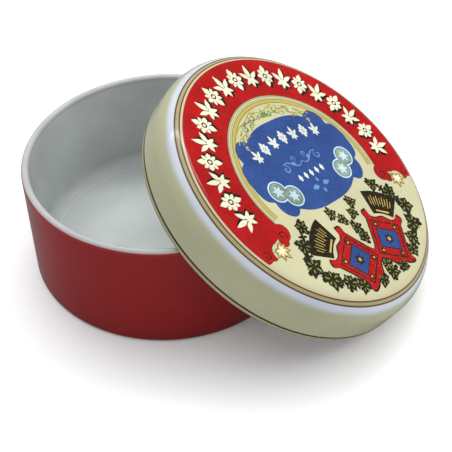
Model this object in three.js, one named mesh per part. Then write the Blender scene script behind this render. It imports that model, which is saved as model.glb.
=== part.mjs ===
// Round cheese baker in glazed ceramic: a straight-walled dish and its cap lid.
// The lid is off the dish. It leans along +X, one edge on the table, its ceiling on the dish's rim.
// Millimetres, +Z up. The origin is under the middle of the whole set, on the table.

import * as THREE from 'three';

// ---- driving dimensions ----

const SEGMENTS = 72;            // facets round each piece
const ARC_STEPS = 4;            // facets in each rounded corner

const DISH_RADIUS = 60;
const DISH_HEIGHT = 52;
const DISH_WALL = 3.3;
const FLOOR_THICKNESS = 4.4;
const FLOOR_FILLET = 5;         // inside, floor to wall
const FOOT_EDGE = 2;            // outside, foot to wall
const FOOT_INNER_RADIUS = 50;   // the foot ring's flat ends here
const FOOT_RECESS = 1.2;        // the base inside the foot ring is this far off the table

const LID_RADIUS = 66.5;
const LID_HEIGHT = 22.6;
const LID_WALL = 3.6;
const LID_TOP = 3.4;            // thickness of the flat top
const SHOULDER_WIDTH = 9.5;     // the rounded shoulder, measured in
const SHOULDER_DROP = 10.5;     // and down
const LID_EDGE = 1.6;           // rounding of the skirt's lower edge
const CEILING_FILLET = 6;       // inside, ceiling to skirt

const TILT = THREE.MathUtils.degToRad(31.9);
const CONTACT_GAP = 0.3;        // between the lid's ceiling and the dish's rim

// ---- helpers ----

// Points of a quarter of an ellipse round (x, y), from one angle to another, in degrees.
function arc(x, y, radiusX, radiusY, fromDegrees, toDegrees, steps = ARC_STEPS) {
  const points = [];
  for (let i = 0; i <= steps; i += 1) {
    const angle = THREE.MathUtils.degToRad(fromDegrees + (toDegrees - fromDegrees) * i / steps);
    points.push(new THREE.Vector2(x + radiusX * Math.cos(angle), y + radiusY * Math.sin(angle)));
  }
  return points;
}

// A solid of revolution about Z. The profile holds radius and height, from axis to axis.
function turned(name, profile, material) {
  const geometry = new THREE.LatheGeometry(profile, SEGMENTS);
  geometry.rotateX(Math.PI / 2);
  const mesh = new THREE.Mesh(geometry, material);
  mesh.name = name;
  return mesh;
}

// ---- dish ----

function makeDish() {
  const rim = DISH_WALL / 2;
  const innerRadius = DISH_RADIUS - DISH_WALL;
  const profile = [
    new THREE.Vector2(0, FOOT_RECESS),
    new THREE.Vector2(FOOT_INNER_RADIUS - FOOT_RECESS, FOOT_RECESS),
    new THREE.Vector2(FOOT_INNER_RADIUS, 0),
    ...arc(DISH_RADIUS - FOOT_EDGE, FOOT_EDGE, FOOT_EDGE, FOOT_EDGE, -90, 0),
    ...arc(DISH_RADIUS - rim, DISH_HEIGHT - rim, rim, rim, 0, 180, 2 * ARC_STEPS),
    ...arc(innerRadius - FLOOR_FILLET, FLOOR_THICKNESS + FLOOR_FILLET, FLOOR_FILLET, FLOOR_FILLET, 0, -90),
    new THREE.Vector2(0, FLOOR_THICKNESS),
  ];
  const redGlaze = new THREE.MeshStandardMaterial({ color: 0x8c1418, roughness: 0.12, metalness: 0 });
  return turned('dish', profile, redGlaze);
}

// ---- lid ----

// The lid's own origin is the middle of the plane of its lower edge, with its top along +Z.
function makeLid() {
  const innerRadius = LID_RADIUS - LID_WALL;
  const ceiling = LID_HEIGHT - LID_TOP;
  const profile = [
    new THREE.Vector2(0, ceiling),
    ...arc(innerRadius - CEILING_FILLET, ceiling - CEILING_FILLET, CEILING_FILLET, CEILING_FILLET, 90, 0),
    ...arc(innerRadius + LID_EDGE, LID_EDGE, LID_EDGE, LID_EDGE, 180, 270),
    ...arc(LID_RADIUS - LID_EDGE, LID_EDGE, LID_EDGE, LID_EDGE, -90, 0),
    ...arc(
      LID_RADIUS - SHOULDER_WIDTH, LID_HEIGHT - SHOULDER_DROP,
      SHOULDER_WIDTH, SHOULDER_DROP, 0, 90, 2 * ARC_STEPS,
    ),
    new THREE.Vector2(0, LID_HEIGHT),
  ];
  const creamGlaze = new THREE.MeshStandardMaterial({ color: 0xd8d2ac, roughness: 0.15, metalness: 0 });
  return turned('lid', profile, creamGlaze);
}

// Tilts the lid about Y and sets it down: its rounded lower edge touches the table, and its
// ceiling stops CONTACT_GAP above the highest point of the dish's rounded rim along the tilt.
function leanLid(lid) {
  const sin = Math.sin(TILT);
  const cos = Math.cos(TILT);
  const height = (LID_RADIUS - LID_EDGE) * sin + LID_EDGE * (1 - cos);
  const rim = DISH_WALL / 2;
  const rimReach = (DISH_RADIUS - rim) * sin + (DISH_HEIGHT - rim) * cos + rim;
  const edgePlane = rimReach + CONTACT_GAP - (LID_HEIGHT - LID_TOP);
  const leaning = new THREE.Group();
  leaning.add(lid);
  leaning.rotation.y = TILT;
  leaning.position.set((edgePlane - height * cos) / sin, 0, height);
  return leaning;
}

// ---- the set ----

const group = new THREE.Group();
group.add(makeDish(), leanLid(makeLid()));
group.updateMatrixWorld(true);

const bounds = new THREE.Box3().setFromObject(group, true);
group.position.x = -(bounds.min.x + bounds.max.x) / 2;
group.updateMatrixWorld(true);

export default group;
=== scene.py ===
"""Round cheese baker in glazed ceramic: a red dish and its printed cap lid, leaning on the dish's rim.

Laid out as an add-on and run as a script. Lengths in the settings are in metres, and sizes inside the
print are in millimetres, in the print's own plane: U to its right and V to its top.
"""
import math

import bpy
from mathutils import Matrix, Quaternion, Vector


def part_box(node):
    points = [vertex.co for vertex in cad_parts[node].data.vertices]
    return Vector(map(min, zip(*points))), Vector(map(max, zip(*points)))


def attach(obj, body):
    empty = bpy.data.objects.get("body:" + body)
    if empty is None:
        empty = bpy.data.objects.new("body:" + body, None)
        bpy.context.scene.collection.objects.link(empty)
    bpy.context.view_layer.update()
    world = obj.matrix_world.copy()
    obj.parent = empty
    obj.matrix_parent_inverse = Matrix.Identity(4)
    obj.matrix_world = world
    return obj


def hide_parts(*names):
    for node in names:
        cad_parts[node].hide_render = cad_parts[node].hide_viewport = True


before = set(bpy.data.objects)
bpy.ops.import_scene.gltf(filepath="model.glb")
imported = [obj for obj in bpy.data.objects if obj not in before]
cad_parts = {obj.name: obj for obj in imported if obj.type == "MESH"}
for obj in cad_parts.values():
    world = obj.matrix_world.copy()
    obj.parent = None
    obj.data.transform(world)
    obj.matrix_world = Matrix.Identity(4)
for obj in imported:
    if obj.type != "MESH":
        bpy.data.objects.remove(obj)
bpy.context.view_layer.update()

bl_info = {
    "name": "Cheese baker",
    "version": (1, 0, 0),
    "blender": (4, 5, 0),
    "location": "3D View > Sidebar > Baker",
    "description": "Models a round lidded cheese baker, its glazes and its printed label",
    "category": "Object",
}

MM = 0.001
TURN_STEPS = 192            # steps round a turned piece
MERGE = 0.002 * MM          # points nearer than this are one

# ---- sizes from the frame ----

DISH_LOW, DISH_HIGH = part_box("dish")
LID_LOW, LID_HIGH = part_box("lid")
DISH_RADIUS = (DISH_HIGH.y - DISH_LOW.y) / 2
DISH_HEIGHT = DISH_HIGH.z
DISH_X = (DISH_HIGH.x + DISH_LOW.x) / 2
LID_RADIUS = (LID_HIGH.y - LID_LOW.y) / 2


# ---- settings ----

class DishSettings(bpy.types.PropertyGroup):
    wall: bpy.props.FloatProperty(
        name="Wall", description="Thickness of the wall", default=0.0033, min=0.002, unit="LENGTH")
    floor: bpy.props.FloatProperty(
        name="Floor", description="Height of the inside floor", default=0.0044, min=0.002, unit="LENGTH")
    floor_fillet: bpy.props.FloatProperty(
        name="Floor fillet", description="Radius between floor and wall", default=0.005, unit="LENGTH")
    foot_edge: bpy.props.FloatProperty(
        name="Foot edge", description="Radius of the outer edge of the foot", default=0.002, unit="LENGTH")
    foot_inner: bpy.props.FloatProperty(
        name="Foot inner radius", description="Where the foot ring's flat ends", default=0.050, unit="LENGTH")
    foot_recess: bpy.props.FloatProperty(
        name="Foot recess", description="Height of the base inside the foot ring", default=0.0012,
        unit="LENGTH")
    outside_colour: bpy.props.FloatVectorProperty(
        name="Outside glaze", description="Colour of the outside", subtype="COLOR",
        default=(0.24, 0.004, 0.005), min=0, max=1)
    inside_colour: bpy.props.FloatVectorProperty(
        name="Inside glaze", description="Colour of the inside and the rim", subtype="COLOR",
        default=(0.56, 0.59, 0.58), min=0, max=1)
    biscuit_colour: bpy.props.FloatVectorProperty(
        name="Bare foot", description="Colour of the unglazed foot ring", subtype="COLOR",
        default=(0.60, 0.54, 0.45), min=0, max=1)


class LidSettings(bpy.types.PropertyGroup):
    height: bpy.props.FloatProperty(
        name="Height", description="From the lower edge to the top", default=0.0226, unit="LENGTH")
    wall: bpy.props.FloatProperty(
        name="Wall", description="Thickness of the skirt", default=0.0036, unit="LENGTH")
    top: bpy.props.FloatProperty(
        name="Top", description="Thickness of the flat top", default=0.0034, unit="LENGTH")
    shoulder_width: bpy.props.FloatProperty(
        name="Shoulder width", description="The rounded shoulder, measured in", default=0.0096,
        unit="LENGTH")
    shoulder_drop: bpy.props.FloatProperty(
        name="Shoulder drop", description="The rounded shoulder, measured down", default=0.0106,
        unit="LENGTH")
    edge: bpy.props.FloatProperty(
        name="Edge", description="Rounding of the lower edge", default=0.0016, unit="LENGTH")
    ceiling_fillet: bpy.props.FloatProperty(
        name="Ceiling fillet", description="Radius between ceiling and skirt", default=0.006,
        unit="LENGTH")
    tilt: bpy.props.FloatProperty(
        name="Tilt", description="How far the lid leans", default=math.radians(31.9), subtype="ANGLE")
    contact_gap: bpy.props.FloatProperty(
        name="Contact gap", description="Between the ceiling and the dish's rim", default=0.0003,
        unit="LENGTH")
    glaze_colour: bpy.props.FloatVectorProperty(
        name="Glaze", description="Colour of the lid's outside", subtype="COLOR",
        default=(0.42, 0.415, 0.27), min=0, max=1)
    # the broken glaze colour is partly real and partly a painted highlight of the shoulder
    shoulder_colour: bpy.props.FloatVectorProperty(
        name="Broken glaze and sheen", description="Colour of the shoulder, where the glaze is thin, with a painted highlight",
        subtype="COLOR", default=(0.54, 0.58, 0.66), min=0, max=1)
    inside_colour: bpy.props.FloatVectorProperty(
        name="Inside glaze", description="Colour of the lid's inside", subtype="COLOR",
        default=(0.58, 0.58, 0.52), min=0, max=1)


class PrintSettings(bpy.types.PropertyGroup):
    up: bpy.props.FloatProperty(
        name="Up", description="Direction of the print's top on the lid", default=math.radians(151.5),
        subtype="ANGLE")
    field_colour: bpy.props.FloatVectorProperty(
        name="Field", description="Ground of the label", subtype="COLOR",
        default=(0.52, 0.50, 0.315), min=0, max=1)
    red: bpy.props.FloatVectorProperty(
        name="Red", description="Band and shields", subtype="COLOR",
        default=(0.36, 0.008, 0.008), min=0, max=1)
    blue: bpy.props.FloatVectorProperty(
        name="Blue", description="Cartouche and panels", subtype="COLOR",
        default=(0.028, 0.066, 0.22), min=0, max=1)
    cream: bpy.props.FloatVectorProperty(
        name="Cream", description="Ornaments of the band", subtype="COLOR",
        default=(0.74, 0.70, 0.52), min=0, max=1)
    black: bpy.props.FloatVectorProperty(
        name="Black", description="Shadows, leaves and crowns", subtype="COLOR",
        default=(0.018, 0.014, 0.008), min=0, max=1)
    gold: bpy.props.FloatVectorProperty(
        name="Gold", description="Lines, finials and berries", subtype="COLOR",
        default=(0.50, 0.36, 0.08), min=0, max=1)
    green: bpy.props.FloatVectorProperty(
        name="Green", description="Foliage", subtype="COLOR",
        default=(0.13, 0.20, 0.05), min=0, max=1)
    pale: bpy.props.FloatVectorProperty(
        name="Pale blue", description="Medallions and scrolls", subtype="COLOR",
        default=(0.46, 0.62, 0.70), min=0, max=1)
    tan: bpy.props.FloatVectorProperty(
        name="Tan", description="Ring round the label", subtype="COLOR",
        default=(0.36, 0.30, 0.16), min=0, max=1)


class StageSettings(bpy.types.PropertyGroup):
    aim: bpy.props.FloatVectorProperty(
        name="Aim", description="Point that the camera looks at", subtype="XYZ",
        default=(0.0028, -0.0150, 0.0300))
    distance: bpy.props.FloatProperty(
        name="Distance", description="From that point to the camera", default=0.425, unit="LENGTH")
    azimuth: bpy.props.FloatProperty(
        name="Azimuth", description="Direction of the camera from that point",
        default=math.radians(-75.83), subtype="ANGLE")
    elevation: bpy.props.FloatProperty(
        name="Elevation", description="Height of the camera as an angle",
        default=math.radians(43.08), subtype="ANGLE")
    roll: bpy.props.FloatProperty(
        name="Roll", description="Turn of the camera about its view", default=math.radians(-0.88),
        subtype="ANGLE")
    lens: bpy.props.FloatProperty(
        name="Lens", description="Focal length in millimetres, on a 36 mm sensor", default=80.2)


# ---- modelling helpers ----

def deselect_all():
    if bpy.context.object and bpy.context.object.mode != "OBJECT":
        bpy.ops.object.mode_set(mode="OBJECT")
    bpy.ops.object.select_all(action="DESELECT")


def make_only(piece):
    deselect_all()
    piece.select_set(True)
    bpy.context.view_layer.objects.active = piece


def arc(x, y, radius_x, radius_y, start, end, steps=8):
    """Points of an ellipse's arc about (x, y), from one angle to another, in degrees."""
    angles = [math.radians(start + (end - start) * i / steps) for i in range(steps + 1)]
    return [(x + radius_x * math.cos(a), y + radius_y * math.sin(a)) for a in angles]


def turned(name, profile):
    """A closed solid of revolution about Z: one vertex is extruded along the profile, then spun."""
    deselect_all()
    bpy.ops.mesh.primitive_plane_add(size=MM, location=(0, 0, 0))
    piece = bpy.context.object
    piece.name = name
    bpy.ops.object.mode_set(mode="EDIT")
    bpy.ops.mesh.select_all(action="SELECT")
    bpy.ops.mesh.merge(type="CENTER")
    radius, height = profile[0]
    bpy.ops.transform.translate(value=(radius, 0, height))
    for next_radius, next_height in profile[1:]:
        step = (next_radius - radius, 0, next_height - height)
        bpy.ops.mesh.extrude_region_move(TRANSFORM_OT_translate={"value": step})
        radius, height = next_radius, next_height
    bpy.ops.mesh.select_all(action="SELECT")
    bpy.ops.mesh.spin(steps=TURN_STEPS, angle=math.tau, center=(0, 0, 0), axis=(0, 0, 1))
    bpy.ops.mesh.select_all(action="SELECT")
    bpy.ops.mesh.remove_doubles(threshold=MERGE)
    bpy.ops.mesh.normals_make_consistent(inside=False)
    bpy.ops.object.mode_set(mode="OBJECT")
    bpy.ops.object.shade_smooth_by_angle(angle=math.radians(40))
    return piece


def place(piece, matrix):
    """Moves a piece to its place and puts the place into its mesh."""
    piece.matrix_world = matrix
    make_only(piece)
    bpy.ops.object.transform_apply(location=True, rotation=True, scale=True)


def hand_over(piece, material, replaced=None):
    """Gives a finished piece its material and body, and hides the CAD node that it stands for, if any."""
    piece.data.materials.clear()
    piece.data.materials.append(material)
    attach(piece, "root")
    if replaced:
        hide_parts(replaced)


def lid_matrix():
    """Where the lid leans: its lower edge on the table, its ceiling just off the dish's rim."""
    lid = bpy.context.scene.baker_lid
    rim = bpy.context.scene.baker_dish.wall / 2
    sine, cosine = math.sin(lid.tilt), math.cos(lid.tilt)
    height = (LID_RADIUS - lid.edge) * sine + lid.edge * (1 - cosine)
    rim_reach = (DISH_RADIUS - rim) * sine + (DISH_HEIGHT - rim) * cosine + rim
    edge_plane = rim_reach + lid.contact_gap - (lid.height - lid.top)
    x = DISH_X + (edge_plane - height * cosine) / sine
    return Matrix.Translation((x, 0, height)) @ Matrix.Rotation(lid.tilt, 4, "Y")


def print_matrix():
    """The print's plane: the lid's flat top, turned so that V points to the print's top."""
    turn = bpy.context.scene.baker_print.up - math.pi / 2
    top = Matrix.Translation((0, 0, bpy.context.scene.baker_lid.height))
    return lid_matrix() @ top @ Matrix.Rotation(turn, 4, "Z")


# ---- inlays: thin closed solids let into the lid's flat top ----

INLAY_DEPTH = 0.3           # mm from an inlay's upper face to its lower one
LAYER = 0.004               # mm, the thickness of one printed layer
STAMP_LAYERS = 6            # layers that the copies in a stamp take up, above the first one's


def inlay(name, outlines, layer):
    """A thin solid of closed outlines, whose upper face is so many layers above the lid's flat top.

    A point is (u, v), or (u, v, 0) for a sharp corner.
    """
    deselect_all()
    bpy.ops.curve.primitive_bezier_circle_add(radius=MM, location=(0, 0, 0))
    piece = bpy.context.object
    piece.name = name
    curve = piece.data
    curve.dimensions = "2D"
    curve.fill_mode = "BOTH"
    curve.resolution_u = 5
    curve.splines.clear()
    for outline in outlines:
        spline = curve.splines.new("BEZIER")
        spline.bezier_points.add(len(outline) - 1)
        spline.use_cyclic_u = True
        for point, given in zip(spline.bezier_points, outline):
            point.co = (given[0] * MM, given[1] * MM, 0)
            kind = "VECTOR" if len(given) == 3 else "AUTO"
            point.handle_left_type = kind
            point.handle_right_type = kind
    curve.extrude = INLAY_DEPTH * MM / 2
    bpy.ops.object.convert(target="MESH")
    piece = bpy.context.object
    bpy.ops.object.mode_set(mode="EDIT")
    bpy.ops.mesh.select_all(action="SELECT")
    bpy.ops.mesh.remove_doubles(threshold=MERGE)
    bpy.ops.mesh.normals_make_consistent(inside=False)
    bpy.ops.transform.translate(value=(0, 0, (layer * LAYER - INLAY_DEPTH / 2) * MM))
    bpy.ops.object.mode_set(mode="OBJECT")
    return piece


def stamp(name, template, places):
    """Copies of a small solid, joined, and the solid removed.

    A place is (u, v, turn in degrees, width scale, height scale). Neighbours are on different layers,
    so that no two upper faces coincide where they overlap.
    """
    deselect_all()
    copies = []
    for number, (u, v, turn, wide, high) in enumerate(places):
        copy = template.copy()
        copy.data = template.data.copy()
        bpy.context.scene.collection.objects.link(copy)
        lift = (number % STAMP_LAYERS) * LAYER * MM
        copy.matrix_world = (
            Matrix.Translation((u * MM, v * MM, lift))
            @ Matrix.Rotation(math.radians(turn), 4, "Z")
            @ Matrix.Diagonal((wide, high, 1, 1))
        )
        copies.append(copy)
    joined = join(name, copies)
    bpy.data.objects.remove(template)
    return joined


def join(name, pieces):
    """Joins pieces that are still in the print's plane."""
    deselect_all()
    for piece in pieces:
        piece.select_set(True)
    bpy.context.view_layer.objects.active = pieces[0]
    bpy.ops.object.transform_apply(location=True, rotation=True, scale=True)
    if len(pieces) > 1:
        bpy.ops.object.join()
    joined = bpy.context.object
    joined.name = name
    return joined


def finish_inlay(piece, ink):
    """Carries an inlay from the origin to the lid's flat top and gives it its ink."""
    place(piece, print_matrix())
    hand_over(piece, ink_material(ink))


def mirrored(outline):
    """A right half, from the top to the bottom of the axis, with its mirror image."""
    left = [(-point[0],) + tuple(point[1:]) for point in reversed(outline) if abs(point[0]) > 0.01]
    return list(outline) + left


def leaf(name, length, width, layer):
    """A pointed leaf that stands on its base at the origin."""
    half = [(0, length, 0), (width * 0.42, length * 0.62), (width * 0.5, length * 0.36),
            (width * 0.22, length * 0.10), (0, 0, 0)]
    return inlay(name, [mirrored(half)], layer)


def disc(name, radius, layer, hole=0):
    """A round inlay, or a ring when it has a hole."""
    rings = [radius, hole] if hole else [radius]
    return inlay(name, [arc(0, 0, r, r, 0, 330, 11) for r in rings], layer)


def box_outline(u, v, wide, high):
    return [(u - wide / 2, v - high / 2, 0), (u + wide / 2, v - high / 2, 0),
            (u + wide / 2, v + high / 2, 0), (u - wide / 2, v + high / 2, 0)]


def stretched(outline, scale_u, scale_v, shift_v=0.0):
    """The same outline scaled, then moved along V, with its corners kept."""
    return [(point[0] * scale_u, point[1] * scale_v + shift_v) + tuple(point[2:]) for point in outline]


def sharp_ends(points):
    """The same points, with a corner at each end."""
    return [points[0] + (0,)] + points[1:-1] + [points[-1] + (0,)]


def on_arc(radius, angle, centre_v=0.0):
    """A point at an angle clockwise from the print's top, in degrees."""
    a = math.radians(angle)
    return radius * math.sin(a), centre_v + radius * math.cos(a)


def turned_place(origin, turn, local):
    """A place given in a motif's own frame, carried to where the motif stands and turned."""
    u0, v0 = origin
    u, v, own_turn, wide, high = local
    a = math.radians(turn)
    return (u0 + u * math.cos(a) - v * math.sin(a), v0 + u * math.sin(a) + v * math.cos(a),
            own_turn + turn, wide, high)


# ---- shader helpers ----

def node(tree, kind, inputs=None, **settings):
    made = tree.nodes.new(kind)
    for key, value in settings.items():
        setattr(made, key, value)
    for key, value in (inputs or {}).items():
        if isinstance(value, bpy.types.NodeSocket):
            tree.links.new(value, made.inputs[key])
        else:
            made.inputs[key].default_value = value
    return made


def maths(tree, operation, first, second=0.5):
    return node(tree, "ShaderNodeMath", {0: first, 1: second}, operation=operation).outputs[0]


def ramp(tree, value, low, high, to_low=0.0, to_high=1.0):
    """A smooth step from one value to another."""
    made = node(tree, "ShaderNodeMapRange",
                {"Value": value, "From Min": low, "From Max": high, "To Min": to_low, "To Max": to_high},
                interpolation_type="SMOOTHSTEP")
    return made.outputs["Result"]


def mix_colour(tree, factor, first, second):
    made = node(tree, "ShaderNodeMix", data_type="RGBA", clamp_factor=True)
    for socket, value in ((made.inputs[0], factor), (made.inputs[6], first), (made.inputs[7], second)):
        if isinstance(value, bpy.types.NodeSocket):
            tree.links.new(value, socket)
        elif isinstance(value, (int, float)):
            socket.default_value = value
        else:
            socket.default_value = tuple(value)[:3] + (1.0,)
    return made.outputs[2]


def new_group(name, inputs, outputs):
    """A node group with its sockets. Returns the tree and its input and output nodes."""
    tree = bpy.data.node_groups.new(name, "ShaderNodeTree")
    kinds = {"vector": "NodeSocketVector", "colour": "NodeSocketColor", "value": "NodeSocketFloat"}
    for label, kind, default in inputs:
        socket = tree.interface.new_socket(label, in_out="INPUT", socket_type=kinds[kind])
        if default is not None:
            socket.default_value = default
    for label, kind in outputs:
        tree.interface.new_socket(label, in_out="OUTPUT", socket_type=kinds[kind])
    return tree, tree.nodes.new("NodeGroupInput"), tree.nodes.new("NodeGroupOutput")


def use_group(tree, group, inputs):
    return node(tree, "ShaderNodeGroup", inputs, node_tree=group)


def noise(tree, vector, scale, detail=2.0, roughness=0.5):
    made = node(tree, "ShaderNodeTexNoise", {"Vector": vector, "Scale": scale, "Detail": detail,
                                             "Roughness": roughness})
    return made.outputs["Fac"]


def glaze_group():
    """Fired glaze: cloudy colour, fine specks, and a surface that is not quite flat or evenly glossy."""
    if "fired_glaze" in bpy.data.node_groups:
        return bpy.data.node_groups["fired_glaze"]
    tree, given, out = new_group(
        "fired_glaze",
        [("Position", "vector", None), ("Colour", "colour", (0.5, 0.5, 0.5, 1)),
         ("Clouding", "value", 0.1), ("Specks", "value", 0.3), ("Gloss", "value", 0.1),
         ("Ripple", "value", 0.2)],
        [("Colour", "colour"), ("Roughness", "value"), ("Normal", "vector")])
    position = given.outputs["Position"]
    clouds = noise(tree, position, 38.0, 3.0, 0.55)
    shade = ramp(tree, clouds, 0.25, 0.75, -1.0, 1.0)
    amount = maths(tree, "MULTIPLY", shade, given.outputs["Clouding"])
    brightness = maths(tree, "ADD", amount, 1.0)
    tinted = node(tree, "ShaderNodeHueSaturation",
                  {"Color": given.outputs["Colour"], "Value": brightness}).outputs["Color"]
    cells = node(tree, "ShaderNodeTexVoronoi", {"Vector": position, "Scale": 420.0},
                 feature="F1").outputs["Distance"]
    rare = ramp(tree, noise(tree, position, 150.0, 1.0), 0.64, 0.70)
    speck = maths(tree, "MULTIPLY", ramp(tree, cells, 0.16, 0.08), rare)
    speck = maths(tree, "MULTIPLY", speck, given.outputs["Specks"])
    speckled = mix_colour(tree, speck, tinted, (0.10, 0.07, 0.04))
    tree.links.new(speckled, out.inputs["Colour"])
    patches = ramp(tree, noise(tree, position, 90.0, 4.0, 0.6), 0.3, 0.7, 0.75, 1.35)
    gloss = maths(tree, "MULTIPLY", patches, given.outputs["Gloss"])
    tree.links.new(gloss, out.inputs["Roughness"])
    swell = noise(tree, position, 60.0, 1.0)
    pits = ramp(tree, cells, 0.0, 0.10)
    height = maths(tree, "ADD", swell,
                   maths(tree, "MULTIPLY", maths(tree, "MULTIPLY", pits, rare), 0.08))
    bump = node(tree, "ShaderNodeBump", {"Strength": given.outputs["Ripple"], "Distance": 0.4 * MM,
                                         "Height": height})
    tree.links.new(bump.outputs["Normal"], out.inputs["Normal"])
    return tree


def ink_group():
    """Printed ink under the glaze: uneven density, a fine printed grain and small missing specks."""
    if "label_ink" in bpy.data.node_groups:
        return bpy.data.node_groups["label_ink"]
    tree, given, out = new_group(
        "label_ink",
        [("Position", "vector", None), ("Ink", "colour", (0.5, 0.5, 0.5, 1)),
         ("Ground", "colour", (0.8, 0.75, 0.5, 1)), ("Density", "value", 0.2), ("Grain", "value", 0.2)],
        [("Colour", "colour")])
    position = given.outputs["Position"]
    broad = ramp(tree, noise(tree, position, 70.0, 3.0, 0.6), 0.3, 0.7, -1.0, 1.0)
    amount = maths(tree, "ADD", maths(tree, "MULTIPLY", broad, given.outputs["Density"]), 1.0)
    shaded = node(tree, "ShaderNodeHueSaturation",
                  {"Color": given.outputs["Ink"], "Value": amount}).outputs["Color"]
    grain = ramp(tree, noise(tree, position, 1400.0, 1.0), 0.56, 0.74)
    worn = maths(tree, "MULTIPLY", grain, given.outputs["Grain"])
    tree.links.new(mix_colour(tree, worn, shaded, given.outputs["Ground"]), out.inputs["Colour"])
    return tree


def new_material(name):
    material = bpy.data.materials.new(name)
    material.use_nodes = True
    tree = material.node_tree
    shader = next(n for n in tree.nodes if n.type == "BSDF_PRINCIPLED")
    return material, tree, shader


def object_position(tree, matrix=None):
    """Object coordinates, or those of a piece's own frame when its matrix is given."""
    position = node(tree, "ShaderNodeTexCoord").outputs["Object"]
    if matrix is None:
        return position
    inverse = matrix.inverted()
    mapping = node(tree, "ShaderNodeMapping", {"Vector": position}, vector_type="POINT")
    mapping.inputs["Location"].default_value = inverse.to_translation()
    mapping.inputs["Rotation"].default_value = inverse.to_euler("XYZ")
    return mapping.outputs["Vector"]


def plane_distance(tree, x, y):
    """Distance of (x, y) from the origin of its plane."""
    flat = node(tree, "ShaderNodeCombineXYZ", {"X": x, "Y": y})
    return node(tree, "ShaderNodeVectorMath", {0: flat.outputs[0]}, operation="LENGTH").outputs["Value"]


def rgba(colour):
    """A colour as a shader socket takes it."""
    return tuple(colour)[:3] + (1.0,)


GLAZE_IOR = 1.52


def connect(tree, shader, surface):
    """Joins a glaze group's outputs to a material's shader."""
    for output, socket in (("Colour", "Base Color"), ("Roughness", "Roughness"), ("Normal", "Normal")):
        tree.links.new(surface.outputs[output], shader.inputs[socket])


def clear_coat(shader):
    """The clear outer layer of the dish's and the lid's glaze."""
    shader.inputs["IOR"].default_value = GLAZE_IOR
    shader.inputs["Coat Weight"].default_value = 0.10
    shader.inputs["Coat Roughness"].default_value = 0.04


# Each ink has a colour, which is a setting of the print or fixed, an unevenness and a wear.
INKS = {
    "black_ink": ("black", 0.16, 0.05),
    "red_ink": ("red", 0.14, 0.12),
    "blue_ink": ("blue", 0.12, 0.05),
    "cream_ink": ("cream", 0.08, 0.05),
    "gold_ink": ("gold", 0.25, 0.2),
    "green_ink": ("green", 0.3, 0.3),
    "pale_blue_ink": ("pale", 0.12, 0.1),
    "white_ink": ((0.62, 0.66, 0.60), 0.06, 0.05),
    "faint_blue_ink": ((0.13, 0.25, 0.48), 0.15, 0.0),
    "slate_ink": ((0.07, 0.13, 0.17), 0.2, 0.1),
    "sage_ink": ((0.20, 0.27, 0.22), 0.3, 0.5),
    "laurel_ink": ((0.020, 0.020, 0.009), 0.2, 0.04),
    "laurel_gold_ink": ((0.21, 0.22, 0.055), 0.3, 0.1),
    "finial_ink": ((0.46, 0.34, 0.08), 0.2, 0.1),
}


def ink_material(name):
    """An inlay's material: one ink, under the same gloss as the lid."""
    if name in bpy.data.materials:
        return bpy.data.materials[name]
    settings = bpy.context.scene.baker_print
    colour, density, grain = INKS[name]
    if isinstance(colour, str):
        colour = getattr(settings, colour)
    material, tree, shader = new_material(name)
    position = object_position(tree)
    inked = use_group(tree, ink_group(), {"Position": position, "Ink": rgba(colour),
                                          "Ground": rgba(settings.field_colour),
                                          "Density": density, "Grain": grain})
    glazed = use_group(tree, glaze_group(), {"Position": position, "Colour": inked.outputs["Colour"],
                                             "Clouding": 0.04, "Specks": 0.0, "Gloss": 0.13,
                                             "Ripple": 0.10})
    connect(tree, shader, glazed)
    shader.inputs["IOR"].default_value = GLAZE_IOR
    return material


# ---- dish ----

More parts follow.
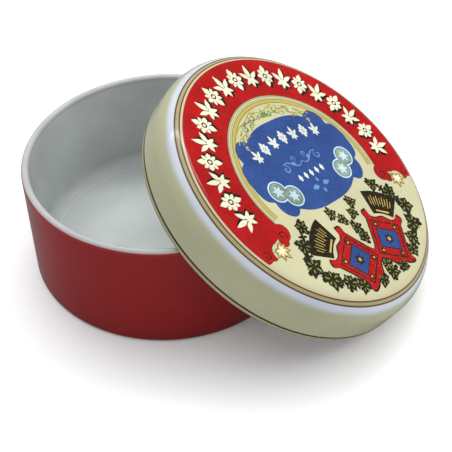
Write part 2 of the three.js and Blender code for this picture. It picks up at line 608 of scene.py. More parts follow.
def dish_glaze():
    dish = bpy.context.scene.baker_dish
    material, tree, shader = new_material("dish_glaze")
    position = object_position(tree, Matrix.Translation((DISH_X, 0, 0)))
    axes = node(tree, "ShaderNodeSeparateXYZ", {"Vector": position})
    height = axes.outputs["Z"]
    radius = plane_distance(tree, axes.outputs["X"], axes.outputs["Y"])

    # the red stops just under the rounded rim, along a slightly wavering line
    waver = maths(tree, "MULTIPLY", noise(tree, position, 55.0, 1.0), 0.5 * MM)
    line = maths(tree, "ADD", height, waver)
    top = DISH_HEIGHT - dish.wall * 0.16
    below_rim = ramp(tree, line, top + 0.2 * MM, top - 0.2 * MM)
    outside = ramp(tree, radius, DISH_RADIUS - dish.wall * 0.55, DISH_RADIUS - dish.wall * 0.45)
    red_mask = maths(tree, "MULTIPLY", below_rim, outside)

    # the red is thin just under the rim and darker towards the foot
    thin = ramp(tree, height, top - 2.2 * MM, top, 0.0, 0.45)
    darker_at_foot = ramp(tree, height, 0.0, 7 * MM, 0.35, 0.0)
    red = mix_colour(tree, thin, dish.outside_colour, (0.46, 0.045, 0.045))
    red = mix_colour(tree, darker_at_foot, red, (0.16, 0.003, 0.006))

    # the white is a little paler low down, has a painted highlight in a line round the floor's edge, and is
    # painted greyer on the rim as shade
    pale = mix_colour(tree, ramp(tree, height, 9 * MM, 5 * MM, 0.0, 0.25), dish.inside_colour,
                      (0.60, 0.65, 0.63))
    floor_radius = DISH_RADIUS - dish.wall - dish.floor_fillet
    # the pale line round the floor is a painted highlight of the fillet
    fillet_highlight_ring = ring_mask(tree, radius, floor_radius - 0.7 * MM, floor_radius, 0.3 * MM)
    on_floor = ramp(tree, height, dish.floor + 0.6 * MM, dish.floor + 0.3 * MM, 0.0, 0.6)
    pale = mix_colour(tree, maths(tree, "MULTIPLY", fillet_highlight_ring, on_floor), pale, (0.74, 0.77, 0.77))
    # the rim is painted greyer as shade, to dim the light that its top catches
    painted_rim_shade = ramp(tree, height, DISH_HEIGHT - dish.wall * 0.9, DISH_HEIGHT - dish.wall * 0.4, 0.0, 0.8)
    pale = mix_colour(tree, painted_rim_shade, pale, (0.42, 0.41, 0.41))
    glaze = mix_colour(tree, red_mask, pale, red)

    surface = use_group(tree, glaze_group(), {"Position": position, "Colour": glaze, "Clouding": 0.07,
                                              "Specks": 0.30, "Gloss": 0.10, "Ripple": 0.16})

    # the foot ring's flat is wiped clean of glaze
    bare = ramp(tree, maths(tree, "ADD", height, maths(tree, "MULTIPLY", waver, 0.5)),
                0.55 * MM, 0.25 * MM)
    grit = noise(tree, position, 900.0, 3.0, 0.7)
    clay = mix_colour(tree, grit, dish.biscuit_colour, (0.42, 0.36, 0.28))
    tree.links.new(mix_colour(tree, bare, surface.outputs["Colour"], clay), shader.inputs["Base Color"])
    gloss = surface.outputs["Roughness"]
    rough = maths(tree, "MAXIMUM", gloss, maths(tree, "MULTIPLY", bare, 0.75))
    tree.links.new(rough, shader.inputs["Roughness"])
    tree.links.new(surface.outputs["Normal"], shader.inputs["Normal"])
    clear_coat(shader)
    return material


class BAKER_OT_dish(bpy.types.Operator):
    """Turn the straight-walled dish and glaze it"""
    bl_idname = "baker.dish"
    bl_label = "Dish"

    def execute(self, context):
        dish = context.scene.baker_dish
        rim = dish.wall / 2
        inner = DISH_RADIUS - dish.wall
        fillet = dish.floor_fillet
        profile = [(0, dish.foot_recess), (dish.foot_inner - 2 * dish.foot_recess, dish.foot_recess)]
        profile += [(dish.foot_inner - dish.foot_recess, dish.foot_recess), (dish.foot_inner, 0)]
        profile += [(dish.foot_inner + dish.foot_edge, 0)]
        profile += arc(DISH_RADIUS - dish.foot_edge, dish.foot_edge, dish.foot_edge, dish.foot_edge, -90, 0)
        profile += [(DISH_RADIUS, dish.foot_edge + rim), (DISH_RADIUS, DISH_HEIGHT / 2)]
        profile += [(DISH_RADIUS, DISH_HEIGHT - 2 * rim)]
        profile += arc(DISH_RADIUS - rim, DISH_HEIGHT - rim, rim, rim, 0, 180, 14)
        profile += [(inner, DISH_HEIGHT - 2 * rim), (inner, DISH_HEIGHT / 2)]
        profile += [(inner, dish.floor + fillet + rim)]
        profile += arc(inner - fillet, dish.floor + fillet, fillet, fillet, 0, -90, 12)
        profile += [(inner - fillet - rim, dish.floor), (inner / 2, dish.floor), (0, dish.floor)]
        piece = turned("glazed_dish", profile)
        place(piece, Matrix.Translation((DISH_X, 0, 0)))
        hand_over(piece, dish_glaze(), "dish")
        return {"FINISHED"}


# ---- lid ----

BAND_INNER = 39.8 * MM
BAND_OUTER = 59.5 * MM
BAND_END = 111.5            # degrees from the print's top to each end of the red band

# at each end of the band: distance in mm from the middle, degrees from the print's top, radius in mm
END_LOBES = ((41.6, 112.0, 3.9), (44.6, 115.0, 2.3), (57.4, 110.6, 3.0), (54.6, 112.6, 2.4))
END_NOTCH = (50.4, 115.4, 4.2)

TAN_INNER = 60.7 * MM
TAN_OUTER = 62.3 * MM
EDGE_LINE = 3.0 * MM        # height of the dark line above the lid's lower edge

# lines inside the red band: two radii in mm, and a setting of the print or a fixed colour
INNER_LINES = ((35.6, 36.0, "green"), (36.0, 37.3, "gold"), (37.3, 37.65, "green"),
               (38.1, 38.3, "green"), (39.0, 39.25, (0.25, 0.10, 0.03)))


def ring_mask(tree, radius, low, high, soft=0.12 * MM):
    """1 between two radii."""
    inner = ramp(tree, radius, low - soft, low + soft)
    outer = ramp(tree, radius, high + soft, high - soft)
    return maths(tree, "MULTIPLY", inner, outer)


def spot_mask(tree, folded, spot, grow=0.0, soft=0.15 * MM):
    """1 inside a circle of the print's plane, on both sides of its axis."""
    distance, angle, size = spot
    u, v = on_arc(distance, angle)
    away = node(tree, "ShaderNodeVectorMath", {0: folded, 1: (u * MM, v * MM, 0)}, operation="DISTANCE")
    edge = (size + grow) * MM
    return ramp(tree, away.outputs["Value"], edge + soft, edge - soft)


def lid_glaze():
    scene = bpy.context.scene
    lid, inks = scene.baker_lid, scene.baker_print
    material, tree, shader = new_material("lid_glaze")
    place_in_lid = object_position(tree, print_matrix())
    world = object_position(tree)
    axes = node(tree, "ShaderNodeSeparateXYZ", {"Vector": place_in_lid})
    u, v = axes.outputs["X"], axes.outputs["Y"]
    depth = axes.outputs["Z"]                      # 0 on the flat top, negative below it
    radius = plane_distance(tree, u, v)
    side = maths(tree, "ABSOLUTE", u)
    folded = node(tree, "ShaderNodeCombineXYZ", {"X": side, "Y": v}).outputs[0]
    from_top = maths(tree, "MULTIPLY", maths(tree, "ARCTAN2", side, v), 180 / math.pi)
    on_top = ramp(tree, depth, -2.4 * MM, -2.0 * MM)

    # the cream ground, and the lines inside the red band, ending short of the band's ends
    printed = mix_colour(tree, ramp(tree, radius, TAN_INNER, TAN_OUTER), inks.field_colour,
                         lid.glaze_colour)
    line_end = ramp(tree, from_top, 106.0, 105.0)
    for low, high, colour in INNER_LINES:
        if isinstance(colour, str):
            colour = getattr(inks, colour)
        mask = maths(tree, "MULTIPLY", ring_mask(tree, radius, low * MM, high * MM, 0.08 * MM), line_end)
        printed = mix_colour(tree, mask, printed, colour)

    # the red band, with lobes and a notch at each end and a thin dark edge all round
    red = use_group(tree, ink_group(), {"Position": world, "Ink": rgba(inks.red),
                                        "Ground": rgba(inks.field_colour), "Density": 0.12,
                                        "Grain": 0.03}).outputs["Colour"]
    for grow, colour in ((0.28, (0.06, 0.012, 0.008)), (0.0, red)):
        band = ring_mask(tree, radius, BAND_INNER - grow * MM, BAND_OUTER + grow * MM)
        ends = ramp(tree, from_top, BAND_END + 0.3 + 0.3 * grow, BAND_END - 0.3 + 0.3 * grow)
        band = maths(tree, "MULTIPLY", band, ends)
        for lobe in END_LOBES:
            band = maths(tree, "MAXIMUM", band, spot_mask(tree, folded, lobe, grow))
        notch = spot_mask(tree, folded, END_NOTCH, -grow)
        band = maths(tree, "MULTIPLY", band, maths(tree, "SUBTRACT", 1.0, notch))
        printed = mix_colour(tree, band, printed, colour)

    # tan ring between two dark lines, with a pale line inside it
    pale_line = ring_mask(tree, radius, BAND_OUTER + 0.1 * MM, TAN_INNER - 0.15 * MM, 0.1 * MM)
    printed = mix_colour(tree, pale_line, printed, (0.54, 0.46, 0.30))
    tan_mask = ring_mask(tree, radius, TAN_INNER, TAN_OUTER, 0.15 * MM)
    printed = mix_colour(tree, tan_mask, printed, inks.tan)
    for at in (TAN_INNER, TAN_OUTER):
        dark = ring_mask(tree, radius, at - 0.26 * MM, at + 0.26 * MM, 0.10 * MM)
        printed = mix_colour(tree, dark, printed, (0.09, 0.055, 0.025))
    outside_colour = mix_colour(tree, on_top, lid.glaze_colour, printed)

    # the skirt's lower edge: a printed dark line with a tan band under it, and painted shade in a dark line
    # just above the edge
    above_edge = maths(tree, "ADD", depth, lid.height)
    edge_band = ramp(tree, above_edge, EDGE_LINE + 0.15 * MM, EDGE_LINE - 0.15 * MM, 0.0, 0.75)
    outside_colour = mix_colour(tree, edge_band, outside_colour, inks.tan)
    # the line 3 mm up is printed; the line 0.5 to 1.1 mm up is painted shade along the rounded lower edge
    for low, high in ((EDGE_LINE - 0.5 * MM, EDGE_LINE + 0.5 * MM), (0.5 * MM, 1.1 * MM)):
        printed_line_and_edge_shade = ring_mask(tree, above_edge, low, high)
        outside_colour = mix_colour(tree, printed_line_and_edge_shade, outside_colour, (0.035, 0.02, 0.012))

    # over the shoulder the glaze breaks to a cool white, which is also a painted highlight: its pale bluish
    # tone stands in for the shoulder's reflection
    waver = maths(tree, "MULTIPLY", noise(tree, world, 45.0, 2.0), 0.9 * MM)
    past_ring = ramp(tree, radius, TAN_OUTER + 0.1 * MM, TAN_OUTER + 0.5 * MM)
    short_of_side = ramp(tree, maths(tree, "ADD", radius, waver), LID_RADIUS - 0.8 * MM,
                         LID_RADIUS - 2.4 * MM)
    broken_glaze_and_sheen = maths(tree, "MULTIPLY", past_ring, short_of_side)
    outside_colour = mix_colour(tree, broken_glaze_and_sheen, outside_colour, lid.shoulder_colour)

    # the inside is plain: it lies within an ellipse drawn between the shoulder's two skins
    flat_radius = LID_RADIUS - lid.shoulder_width
    out = maths(tree, "DIVIDE", maths(tree, "SUBTRACT", radius, flat_radius), lid.shoulder_width)
    up = maths(tree, "DIVIDE", maths(tree, "ADD", depth, lid.shoulder_drop), lid.shoulder_drop)
    reach = plane_distance(tree, maths(tree, "MAXIMUM", out, 0.0), maths(tree, "MAXIMUM", up, 0.0))
    shown_outside = ramp(tree, reach, 0.80, 0.84)
    colour = mix_colour(tree, shown_outside, lid.inside_colour, outside_colour)

    surface = use_group(tree, glaze_group(), {"Position": world, "Colour": colour, "Clouding": 0.05,
                                              "Specks": 0.20, "Gloss": 0.11, "Ripple": 0.14})
    connect(tree, shader, surface)
    clear_coat(shader)
    return material


class BAKER_OT_lid(bpy.types.Operator):
    """Turn the cap lid with its rounded shoulder, lean it and glaze it"""
    bl_idname = "baker.lid"
    bl_label = "Lid"

    def execute(self, context):
        lid = context.scene.baker_lid
        inner = LID_RADIUS - lid.wall
        ceiling = lid.height - lid.top
        fillet, edge = lid.ceiling_fillet, lid.edge
        flat = LID_RADIUS - lid.shoulder_width
        profile = [(0, ceiling), (inner / 2, ceiling), (inner - fillet - edge, ceiling)]
        profile += arc(inner - fillet, ceiling - fillet, fillet, fillet, 90, 0, 12)
        profile += [(inner, 2 * edge + MM)]
        profile += arc(inner + edge, edge, edge, edge, 180, 270)
        profile += arc(LID_RADIUS - edge, edge, edge, edge, -90, 0)
        profile += [(LID_RADIUS, 2 * edge + MM), (LID_RADIUS, lid.height - lid.shoulder_drop - MM)]
        profile += arc(flat, lid.height - lid.shoulder_drop, lid.shoulder_width, lid.shoulder_drop, 0, 90, 24)
        profile += [(flat - MM, lid.height), (flat / 2, lid.height), (0, lid.height)]
        piece = turned("glazed_lid", profile)
        place(piece, lid_matrix())
        hand_over(piece, lid_glaze(), "lid")
        return {"FINISHED"}


# ---- label: the band's ornaments ----

BAND_MIDDLE = 50.2          # mm, radius of the row of ornaments
MOTIF_COUNT = 19
MOTIF_PITCH = 10.6          # degrees
MOTIF_SIZE = 1.16
SHADOW_GROWTH = 0.5         # mm that a shadow's strokes are wider

# A motif is its leaves, bars, rings and dots: (u, v, turn, width scale, height scale), for a leaf 5 mm
# long, a bar 4 mm wide, a ring of 2 mm radius and a dot of 0.6 mm radius.
FLEUR = (
    [(0, -0.8, 0, 1.15, 1.22), (-0.6, -0.9, 52, 1.05, 0.92), (0.6, -0.9, -52, 1.05, 0.92),
     (0, -1.3, 180, 0.9, 0.74), (-0.5, -1.6, 130, 0.85, 0.60), (0.5, -1.6, -130, 0.85, 0.60)],
    [(0, -1.25, 0, 0.85, 1.15)], [], [])
ROUNDEL = (
    [(0, 1.5, 0, 1.3, 0.72), (0, -1.5, 180, 1.3, 0.72), (-1.5, 0, 90, 1.2, 0.42), (1.5, 0, -90, 1.2, 0.42),
     (-1.2, 1.2, 40, 0.8, 0.40), (1.2, 1.2, -40, 0.8, 0.40), (-1.2, -1.2, 140, 0.8, 0.40),
     (1.2, -1.2, -140, 0.8, 0.40)],
    [], [(0, 0, 0, 1, 1)], [(0, 0, 0, 1, 1)])
MOTIFS = (FLEUR, ROUNDEL)


def motif_row(name, spots, layer, grow=0.0, shift=(0.0, 0.0)):
    """Motifs set in turn. A spot is (u, v), a turn and a size; grow thickens every stroke, in mm."""
    templates = [leaf("petal_template", 5.0, 1.7 + grow, layer),
                 inlay("bar_template", [box_outline(0, 0, 4.0 + grow, 0.85 + grow)], layer + 8),
                 disc("ring_template", 2.0 + grow / 2, layer + 10, 1.15 - grow / 2),
                 disc("dot_template", 0.6 + grow / 2, layer + 10)]
    placed = [[], [], [], []]
    for number, (origin, turn, size) in enumerate(spots):
        for kept, places in zip(placed, MOTIFS[number % 2]):
            for u, v, own_turn, wide, high in places:
                local = ((u + shift[0]) * size, (v + shift[1]) * size, own_turn, wide * size, high * size)
                kept.append(turned_place(origin, turn, local))
    return join(name, [stamp("motifs", template, places) for template, places in zip(templates, placed)])


class BAKER_OT_band(bpy.types.Operator):
    """Set the cream ornaments, with their dark shadows, round the red band"""
    bl_idname = "baker.band"
    bl_label = "Band ornaments"

    shadow_shift: bpy.props.FloatVectorProperty(
        name="Shadow shift", description="Of each shadow in its ornament's frame, in mm", size=2,
        default=(0.85, -0.65))

    def execute(self, context):
        spots = []
        for number in range(MOTIF_COUNT):
            angle = (number - (MOTIF_COUNT - 1) / 2) * MOTIF_PITCH
            spots.append((on_arc(BAND_MIDDLE, angle), -angle, MOTIF_SIZE))
        shadow = motif_row("band_shadows", spots, 3, SHADOW_GROWTH, tuple(self.shadow_shift))
        ornament = motif_row("band_ornaments", spots, 22)
        finish_inlay(shadow, "black_ink")
        finish_inlay(ornament, "cream_ink")
        curls = inlay("end_curls", [ribbon(curl(*spec), 0.55) for spec in END_CURLS], 5)
        finish_inlay(curls, "black_ink")
        return {"FINISHED"}


# ---- label: lines that curl ----

def curl(centre, reach, start, turns, stem=()):
    """A path that winds out of a centre, counterclockwise when turns is positive, then along a stem."""
    steps = max(8, int(abs(turns) * 14))
    path = []
    for i in range(steps + 1):
        share = i / steps
        angle = math.radians(start) - math.tau * turns * (1 - share)
        grown = reach * (0.12 + 0.88 * share)
        path.append((centre[0] + grown * math.cos(angle), centre[1] + grown * math.sin(angle)))
    return path + list(stem)


def ribbon(path, width):
    """The closed outline of a line that thins out at both ends."""
    left, right = [], []
    for i, (u, v) in enumerate(path):
        before, after = path[max(0, i - 1)], path[min(len(path) - 1, i + 1)]
        du, dv = after[0] - before[0], after[1] - before[1]
        length = math.hypot(du, dv)
        half = width / 2 * (0.25 + 0.75 * math.sin(math.pi * i / (len(path) - 1)))
        left.append((u - dv / length * half, v + du / length * half))
        right.append((u + dv / length * half, v - du / length * half))
    return left + right[::-1]


def flipped(path, side):
    """The path itself for side 1, and its mirror image for side -1."""
    return [(side * u, v) for u, v in path]


def end_curl(radius, angle, reach, hand):
    """A curl on one lobe of the band's end, on both sides of the print's axis."""
    u, v = on_arc(radius, angle)
    return [((side * u, v), reach, 90 - side * (angle + 90 * hand), side * hand * 1.1)
            for side in (-1, 1)]


END_CURLS = end_curl(42.4, 113.0, 2.3, 1) + end_curl(56.6, 111.2, 2.0, -1)


# ---- label: cartouche ----

# A plain lobed panel, the same above its middle as below: its right upper quarter, from its middle.
PANEL_MIDDLE = 5.8
PANEL_QUARTER = [
    (0, 21.6), (9.0, 21.2), (15.5, 19.6), (20.5, 17.0, 0), (24.0, 19.0), (27.6, 17.6), (30.0, 13.6),
    (30.0, 10.0, 0), (33.2, 8.0), (34.6, 4.0), (34.8, 0),
]
# u and v of the medallions on the right, and of the flourish's right half
MEDALLIONS = ((24.6, -0.9), (18.3, -5.4))
FLOURISH = [(1.2, 5.0), (3.2, 4.6), (5.4, 5.6), (7.4, 7.2), (9.4, 8.0), (11.4, 7.6)]
MEDALLION_RADIUS = 5.0
GARLAND_COUNT = 7
GARLAND_PITCH = 5.3         # degrees
GARLAND_RADIUS = 76.0       # of the arc that the garland follows
GARLAND_CENTRE = -57.4      # V of that arc's centre
GARLAND_SIZE = 0.70
LOZENGE_COUNT = 5
LOZENGE_PITCH = 3.9


class BAKER_OT_cartouche(bpy.types.Operator):
    """Lay the blue cartouche with its garland, scrolls and sprig"""
    bl_idname = "baker.cartouche"
    bl_label = "Cartouche"

    def execute(self, context):
        upper = stretched(PANEL_QUARTER, 1, 1, PANEL_MIDDLE)
        lower = stretched(PANEL_QUARTER[-2::-1], 1, -1, PANEL_MIDDLE)
        cartouche = inlay("cartouche", [mirrored(upper + lower)], 5)
        spots = []
        for number in range(GARLAND_COUNT):
            angle = (number - (GARLAND_COUNT - 1) / 2) * GARLAND_PITCH
            spots.append((on_arc(GARLAND_RADIUS, angle, GARLAND_CENTRE), -angle, GARLAND_SIZE))
        garland = motif_row("cartouche_garland", spots, 14, 0.15)
        dots = [((number - (LOZENGE_COUNT - 1) / 2) * LOZENGE_PITCH, -0.5, turn, 1,
                 1 if turn % 180 == 0 else 0.65)
                for number in range(LOZENGE_COUNT) for turn in (0, 90, 180, 270)]
        lozenges = stamp("lozenges", leaf("petal_small", 1.7, 1.3, 14), dots)
        white = join("cartouche_garland", [garland, lozenges])
        sprig = [(1.6, -6.9, -90, 1.1, 0.85), (-1.6, -6.9, 90, 1.1, 0.85), (0, -5.2, 0, 0.8, 0.45),
                 (0, -8.6, 180, 0.8, 0.45), (4.6, 5.4, -30, 0.7, 0.5), (-4.6, 5.4, 30, 0.7, 0.5)]
        sprigs = stamp("cartouche_sprig", leaf("petal_faint", 5.0, 2.0, 12), sprig)
        outlines = []
        for side in (-1, 1):
            outlines.append(ribbon(flipped(FLOURISH[::-1] + [(0, 6.2)], side), 0.6))
            outlines.append(ribbon(flipped(curl((11.2, 5.4), 2.2, 90, -1.15), side), 0.6))
            outlines.append(ribbon(flipped(curl((4.0, 8.4), 1.5, 250, 1.0), side), 0.45))
        scrolls = inlay("cartouche_scrolls", outlines, 12)
        finish_inlay(cartouche, "blue_ink")
        finish_inlay(white, "white_ink")
        finish_inlay(join("cartouche_scrollwork", [sprigs, scrolls]), "faint_blue_ink")
        return {"FINISHED"}


class BAKER_OT_medallions(bpy.types.Operator):
    """Set two pairs of medallions on the cartouche"""
    bl_idname = "baker.medallions"
    bl_label = "Medallions"

    def execute(self, context):
        spots = [(side * u, v, 0, 1, 1) for side in (-1, 1) for u, v in MEDALLIONS]
        for name, share, layer, ink in (("medallion_plates", 1.0, 12, "pale_blue_ink"),
                                        ("medallion_rims", 0.86, 20, "slate_ink"),
                                        ("medallion_hearts", 0.79, 28, "sage_ink")):
            finish_inlay(stamp(name, disc("disc", MEDALLION_RADIUS * share, layer), spots), ink)
        petals = [(u, v, step * 60 + 10, 1, 1) for u, v, *_ in spots for step in range(6)]
        rosettes = stamp("medallion_rosettes", leaf("petal_medallion", 3.0, 1.2, 36), petals)
        finish_inlay(rosettes, "pale_blue_ink")
        return {"FINISHED"}


# ---- label: foliage under the band's crown ----

class BAKER_OT_foliage(bpy.types.Operator):
    """Draw the green and gold foliage between the cartouche and the rings"""
    bl_idname = "baker.foliage"
    bl_label = "Foliage"

    def execute(self, context):
        green, gold = [], []
        for side in (-1, 1):
            for number in range(6):
                angle = 6.0 + number * 7.4
                hand = 1 if number % 2 else -1
                size = 2.3 - 0.15 * number
                u, v = on_arc(32.0 + 0.9 * hand - 0.2 * number, angle)
                green.append(flipped(curl((u, v), size, 90 - angle, hand * 1.25,
                                          [on_arc(34.4 - 0.2 * number, angle - 6.5 * hand)]), side))
                u, v = on_arc(32.4 - 1.2 * hand - 0.2 * number, angle + 3.6)
                gold.append(flipped(curl((u, v), size * 0.7, 270 - angle, -hand * 1.1), side))
            for row, shade in ((30.3, green), (34.6, gold)):
                shade.append(flipped([on_arc(row + 0.7 * math.sin(1.1 * i), 3 + 4.4 * i)
                                      for i in range(11)], side))
        green_lines = inlay("foliage_curls", [ribbon(path, 0.75) for path in green], 3)
        gold_lines = inlay("foliage_tendrils", [ribbon(path, 0.65) for path in gold], 12)
        places = [(0, 29.8, turn, 1.1, 1.5 - abs(turn) * 0.006) for turn in (-70, -35, 0, 35, 70)]
        for side in (-1, 1):
            for number in range(8):
                angle = side * (9 + number * 5.2)
                u, v = on_arc(32.2 + 1.2 * math.cos(2.4 * number), angle)
                places += [(u, v, -angle + 65, 0.7, 0.55), (u, v, -angle - 65, 0.7, 0.55)]
        leaves = stamp("foliage_leaves", leaf("petal_foliage", 3.0, 1.1, 4), places)
        finish_inlay(join("foliage", [green_lines, leaves]), "green_ink")
        finish_inlay(gold_lines, "gold_ink")
        return {"FINISHED"}


# ---- label: shields, crowns and wreath ----

SHIELD_AT = (12.2, -40.6)   # u and v of the right one's middle
SHIELD_TURN = 33.0          # degrees that it leans
SHIELD_HALF = [
    (0, 10.4, 0), (5.8, 9.4), (8.2, 12.6, 0), (10.6, 10.6), (9.2, 7.4, 0), (9.0, 0), (9.4, -6.2),
    (11.2, -8.6), (8.0, -10.6), (4.2, -10.6), (0, -12.2, 0),
]
PANEL_V = -0.6              # V of a shield's panel and border in the shield's own frame
CROWN_AT = (21.8, -28.4)    # u and v of the right one's middle
CROWN_TURN = 35.0
CROWN_CENTRE = -19.0        # V of the fan's centre in the crown's own frame


def both_sides(at, turn):
    """A motif's place on the left and on the right of the print's axis, leaning outwards."""
    return [(-at[0], at[1], turn, 1, 1), (at[0], at[1], -turn, 1, 1)]


def on_both(name, outlines, layer, at=SHIELD_AT, turn=SHIELD_TURN):
    """The same inlay on both sides of the print's axis, where the shields are unless told."""
    return stamp(name, inlay(name + "_template", outlines, layer), both_sides(at, turn))


class BAKER_OT_shields(bpy.types.Operator):
    """Lay the two red shields, alike, each with a blue panel and rosettes"""
    bl_idname = "baker.shields"
    bl_label = "Shields"

    def execute(self, context):
        ground = mirrored(SHIELD_HALF)
        border = [box_outline(0, PANEL_V, 15.6, 16.6), box_outline(0, PANEL_V, 14.6, 15.6)]
        pieces = (("shield_edges", [stretched(ground, 1.06, 1.06)], 12, "black_ink"),
                  ("shield_grounds", [ground], 18, "red_ink"),
                  ("shield_borders", border, 24, "black_ink"),
                  ("shield_panel_edges", [box_outline(0, PANEL_V, 11.4, 9.4)], 24, "black_ink"),
                  ("shield_panels", [box_outline(0, PANEL_V, 10.6, 8.6)], 32, "blue_ink"))
        for name, outlines, layer, ink in pieces:
            finish_inlay(on_both(name, outlines, layer), ink)

        # a rosette on the panel and one in each corner, dark with a gold heart
        rosettes = [(0, PANEL_V, 1.0)] + [(side * 5.2, v, 0.6) for side in (-1, 1) for v in (5.8, -7.0)]
        dark_places, gold_places = [], []
        for side in (-1, 1):
            at = (side * SHIELD_AT[0], SHIELD_AT[1])
            for u, v, size in rosettes:
                for turn in range(0, 360, 60):
                    for places, share in ((dark_places, 1.0), (gold_places, 0.45)):
                        local = (u, v, turn, size * share, size * share)
                        places.append(turned_place(at, -side * SHIELD_TURN, local))
        dark = stamp("shield_leaves", leaf("petal_shield", 2.6, 1.4, 40), dark_places)
        gold = stamp("shield_gilding", leaf("petal_bright", 2.6, 1.4, 50), gold_places)
        finish_inlay(dark, "black_ink")
        finish_inlay(gold, "gold_ink")
        return {"FINISHED"}


class BAKER_OT_crowns(bpy.types.Operator):
    """Lay the fan-shaped crowns over the shields"""
    bl_idname = "baker.crowns"
    bl_label = "Crowns"

    def execute(self, context):
        fan = arc(0, CROWN_CENTRE, 27.0, 27.0, 90 + 21, 90 - 21, 6)
        foot = arc(0, CROWN_CENTRE, 15.6, 15.6, 90 - 20, 90 + 20, 5)
        crowns = on_both("crowns", [sharp_ends(fan) + sharp_ends(foot)], 12, CROWN_AT, CROWN_TURN)
        bars, strips = [], []
        for u, v, turn, *_ in both_sides(CROWN_AT, CROWN_TURN):
            for step in range(9):
                angle = (step - 4) * 3.6
                at_u, at_v = on_arc(22.0, angle, CROWN_CENTRE)
                bars.append(turned_place((u, v), turn, (at_u, at_v, -angle, 1, 0.7 + 0.3 * (step % 2))))
            strips.append(turned_place((u, v), turn, (0, -2.2, 0, 1, 1)))
        bars = stamp("bars", inlay("bar", [box_outline(0, 0, 0.32, 5.2)], 18), bars)
        strips = stamp("strips", inlay("strip", [box_outline(0, 0, 7.0, 0.8)], 18), strips)
        finish_inlay(crowns, "black_ink")
        finish_inlay(join("crown_gilding", [bars, strips]), "gold_ink")
        return {"FINISHED"}


# u, v and size of each cluster on the right, whose mirror image is on the left, and on the axis
WREATH_RUN = (
    (27.2, -17.9, 0.90), (33.4, -24.6, 1.0), (36.4, -33.2, 1.15), (32.4, -41.2, 1.15), (25.4, -46.2, 1.0),
    (20.0, -50.4, 0.9), (8.2, -53.2, 0.85),
)
WREATH_INNER = ((7.6, -19.4, 0.8), (3.9, -23.8, 0.75))
WREATH_AXIS = ((0, -52.4, 1.0), (0, -34.5, 0.85), (0, -29.4, 0.8), (0, -49.0, 0.8))


def off_centre(cluster, turn, along, across=0.0):
    """A point of a cluster: so far along a leaf's direction and across it, in the cluster's size."""
    u, v, size = cluster
    sine, cosine = math.sin(math.radians(turn)), math.cos(math.radians(turn))
    return (u - along * size * sine - across * size * cosine,
            v + along * size * cosine - across * size * sine)


class BAKER_OT_wreath(bpy.types.Operator):
    """Lay the dark laurel wreath and its berries round the shields"""
    bl_idname = "baker.wreath"
    bl_label = "Wreath"

    def execute(self, context):
        clusters = [(side * u, v, size) for u, v, size in WREATH_RUN + WREATH_INNER for side in (-1, 1)]
        clusters += WREATH_AXIS
        leaves, lights, berries, fruits = [], [], [], []
        for number, cluster in enumerate(clusters):
            u, v, size = cluster
            for step in range(6):
                turn = 37 * number + 60 * step + 9 * math.sin(5.0 * step + number)
                long = size * (1.22 + 0.25 * math.sin(3.0 * step + 2.0 * number))
                leaves.append((u, v, turn, size * 1.35, long))
                leaves.append((*off_centre(cluster, turn, 1.3), turn + 48, size, size * 0.7))
                lights.append((*off_centre(cluster, turn, 1.1), turn + 8, size, size))
                if step % 2:
                    berries.append((*off_centre(cluster, turn, 2.7), 0, size, size))
                elif step:
                    fruits.append((*off_centre(cluster, turn, 0, 3.6), 0, size, size))
        # small leaves half way between the clusters of each run
        for (u, v, _), (next_u, next_v, _) in zip(WREATH_RUN[:-1], WREATH_RUN[1:]):
            for side in (-1, 1):
                middle = (side * (u + next_u) / 2, (v + next_v) / 2)
                leaves += [(*middle, side * turn, 0.6, 0.75) for turn in (20, 110, 200, 290)]
        runs = [[(side * u, v) for u, v, _ in WREATH_RUN[:-1]] for side in (-1, 1)]
        dark = [stamp("wreath_leaves", leaf("laurel_leaf", 3.4, 2.0, 5), leaves),
                inlay("wreath_stems", [ribbon(run, 0.7) for run in runs], 3),
                stamp("wreath_fruits", disc("fruit", 0.95, 11), fruits)]
        bright = [stamp("wreath_lights", leaf("laurel_light", 1.7, 0.6, 18), lights),
                  stamp("wreath_berries", disc("berry", 0.42, 18), berries)]
        finish_inlay(join("wreath", dark), "laurel_ink")
        finish_inlay(join("wreath_highlights", bright), "laurel_gold_ink")
        return {"FINISHED"}


# ---- label: finials ----

FINIAL_AT = (49.8, 115.0)   # mm from the middle, and degrees from the print's top
FINIAL_TURNS = (-125, -85, -42, 0, 42, 85, 125)


class BAKER_OT_finials(bpy.types.Operator):
    """Set the gold finials in the notches of the band's ends"""
    bl_idname = "baker.finials"
    bl_label = "Finials"

    def execute(self, context):
        radius, angle = FINIAL_AT
        for name, length, width, layer, size, ink in (("finial_edges", 5.0, 2.5, 4, 1.0, "black_ink"),
                                                      ("finial_petals", 4.6, 1.9, 12, 1.0, "finial_ink"),
                                                      ("finial_lights", 4.0, 1.3, 20, 0.75, "cream_ink")):
            places = []
            for side in (-1, 1):
                for turn in FINIAL_TURNS:
                    local = (0, 0, turn - side * 90, size, size * (1.1 - abs(turn) * 0.003))
                    places.append(turned_place(on_arc(radius, side * angle), -side * angle, local))
            finish_inlay(stamp(name, leaf("petal_finial", length, width, layer), places), ink)
        return {"FINISHED"}


# ---- stage ----

FLOOR_SIZE = 6.0
FLOOR_GLOW = 0.09           # keeps the shadows pale
MIRRORED_FLOOR = (0.12, 0.12, 0.125)
WORLD_COLOUR = (0.97, 0.985, 1.0, 1)
WORLD_STRENGTH = 0.28
MIRRORED_STRENGTH = 0.08    # of the world, as the glazes mirror it
SENSOR_WIDTH = 36           # mm

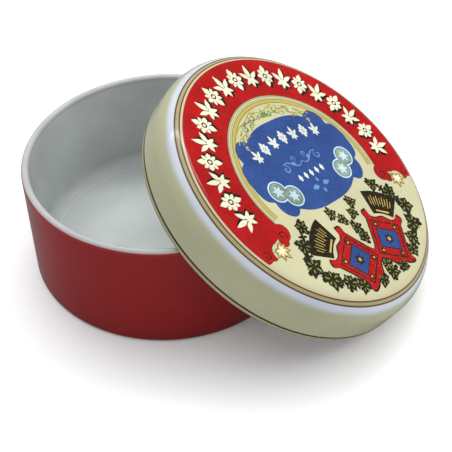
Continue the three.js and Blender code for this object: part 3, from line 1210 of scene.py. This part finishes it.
# name, place, aim, size, power in watts, colour, and whether the glazes mirror it
LIGHTS = (
    ("key", (-0.45, 0.72, 0.90), (0, 0, 0.02), (1.7, 1.7), 11, (1, 0.99, 0.97), False),
    ("fill", (-0.75, -0.55, 0.45), (-0.02, 0, 0.02), (0.35, 0.7), 0.8, (0.95, 0.97, 1), False),
    ("top", (0.05, 0.1, 1.3), (0, 0, 0), (1.9, 1.9), 15.5, (1, 1, 1), False),
    ("side", (0.85, 0.40, 0.50), (0, 0, 0.03), (0.6, 0.6), 4.8, (1, 1, 1), False),
    ("window", (-0.15, 0.30, 1.25), (0, 0, 0), (1.2, 0.8), 1.8, (0.86, 0.93, 1), True),
    ("tube", (-0.10, 0.55, 1.15), (0, 0, 0), (1.5, 0.07), 2.2, (0.95, 0.97, 1), True),
)


def area_light(name, location, aim, size, power, colour, mirrored):
    data = bpy.data.lights.new(name, "AREA")
    data.shape = "RECTANGLE"
    data.size, data.size_y = size
    data.energy = power
    data.color = colour
    light = bpy.data.objects.new(name, data)
    light.location = location
    light.rotation_euler = (Vector(aim) - Vector(location)).to_track_quat("-Z", "Y").to_euler()
    light.visible_glossy = mirrored
    bpy.context.scene.collection.objects.link(light)


def floor_material():
    """White paper that the glazes mirror only dimly."""
    material, tree, shader = new_material("studio_floor")
    position = object_position(tree)
    paper = mix_colour(tree, noise(tree, position, 4.0, 2.0), (0.88, 0.88, 0.88), (0.91, 0.91, 0.91))
    rays = node(tree, "ShaderNodeLightPath").outputs
    seen = mix_colour(tree, rays["Is Glossy Ray"], paper, MIRRORED_FLOOR)
    tree.links.new(seen, shader.inputs["Base Color"])
    shader.inputs["Roughness"].default_value = 0.65
    shader.inputs["Specular IOR Level"].default_value = 0.2
    shader.inputs["Emission Color"].default_value = (1, 1, 1, 1)
    # seen from a low angle, the far floor fades into the white surroundings
    away = node(tree, "ShaderNodeVectorMath", {0: position}, operation="LENGTH").outputs["Value"]
    far = maths(tree, "MULTIPLY", ramp(tree, away, 0.35, 1.1), rays["Is Camera Ray"])
    tree.links.new(maths(tree, "ADD", far, FLOOR_GLOW), shader.inputs["Emission Strength"])
    return material


class BAKER_OT_stage(bpy.types.Operator):
    """Set the floor, the soft lights, the pale surroundings and the camera"""
    bl_idname = "baker.stage"
    bl_label = "Stage"

    def execute(self, context):
        scene = context.scene
        stage = scene.baker_stage
        deselect_all()
        bpy.ops.mesh.primitive_plane_add(size=FLOOR_SIZE, location=(0, 0, 0))
        floor = context.object
        floor.name = "studio_floor"
        floor.data.materials.append(floor_material())

        world = bpy.data.worlds.new("studio")
        scene.world = world
        world.use_nodes = True
        tree = world.node_tree
        background = next(n for n in tree.nodes if n.type == "BACKGROUND")
        background.inputs["Color"].default_value = WORLD_COLOUR
        rays = node(tree, "ShaderNodeLightPath").outputs
        # it lights the object softly, is dim in the glazes and is white where the camera sees it
        strength = ramp(tree, rays["Is Glossy Ray"], 0.0, 1.0, WORLD_STRENGTH, MIRRORED_STRENGTH)
        strength = maths(tree, "MAXIMUM", strength, rays["Is Camera Ray"])
        tree.links.new(strength, background.inputs["Strength"])
        scene.view_settings.view_transform = "Standard"

        for light in LIGHTS:
            area_light(*light)

        data = bpy.data.cameras.new("camera")
        data.lens = stage.lens
        data.sensor_width = SENSOR_WIDTH
        data.clip_start = 0.01
        camera = bpy.data.objects.new("camera", data)
        away = Vector((math.cos(stage.elevation) * math.cos(stage.azimuth),
                       math.cos(stage.elevation) * math.sin(stage.azimuth), math.sin(stage.elevation)))
        camera.location = Vector(stage.aim) + away * stage.distance
        look = (-away).to_track_quat("-Z", "Y") @ Quaternion((0, 0, 1), stage.roll)
        camera.rotation_euler = look.to_euler()
        scene.collection.objects.link(camera)
        scene.camera = camera
        return {"FINISHED"}


# ---- panel and registration ----

SETTINGS = (("baker_dish", DishSettings), ("baker_lid", LidSettings), ("baker_print", PrintSettings),
            ("baker_stage", StageSettings))
OPERATORS = (BAKER_OT_stage, BAKER_OT_dish, BAKER_OT_lid, BAKER_OT_band, BAKER_OT_finials,
             BAKER_OT_cartouche, BAKER_OT_medallions, BAKER_OT_foliage, BAKER_OT_shields, BAKER_OT_crowns,
             BAKER_OT_wreath)


class BAKER_PT_panel(bpy.types.Panel):
    """Settings and steps of the cheese baker"""
    bl_label = "Cheese baker"
    bl_idname = "BAKER_PT_panel"
    bl_space_type = "VIEW_3D"
    bl_region_type = "UI"
    bl_category = "Baker"

    def draw(self, context):
        for attribute, group in SETTINGS:
            box = self.layout.box()
            box.label(text=group.__name__)
            for name in group.__annotations__:
                box.prop(getattr(context.scene, attribute), name)
        for operator in OPERATORS:
            self.layout.operator(operator.bl_idname)


CLASSES = tuple(group for _, group in SETTINGS) + OPERATORS + (BAKER_PT_panel,)


def register():
    for cls in CLASSES:
        bpy.utils.register_class(cls)
    for attribute, group in SETTINGS:
        setattr(bpy.types.Scene, attribute, bpy.props.PointerProperty(type=group))


def unregister():
    for attribute, _ in SETTINGS:
        delattr(bpy.types.Scene, attribute)
    for cls in reversed(CLASSES):
        bpy.utils.unregister_class(cls)


def main():
    register()
    bpy.ops.baker.stage()
    bpy.ops.baker.dish()
    bpy.ops.baker.lid()
    bpy.ops.baker.band()
    bpy.ops.baker.finials()
    bpy.ops.baker.cartouche()
    bpy.ops.baker.medallions()
    bpy.ops.baker.foliage()
    bpy.ops.baker.shields()
    bpy.ops.baker.crowns()
    bpy.ops.baker.wreath()
    deselect_all()


if __name__ == "__main__":
    main()
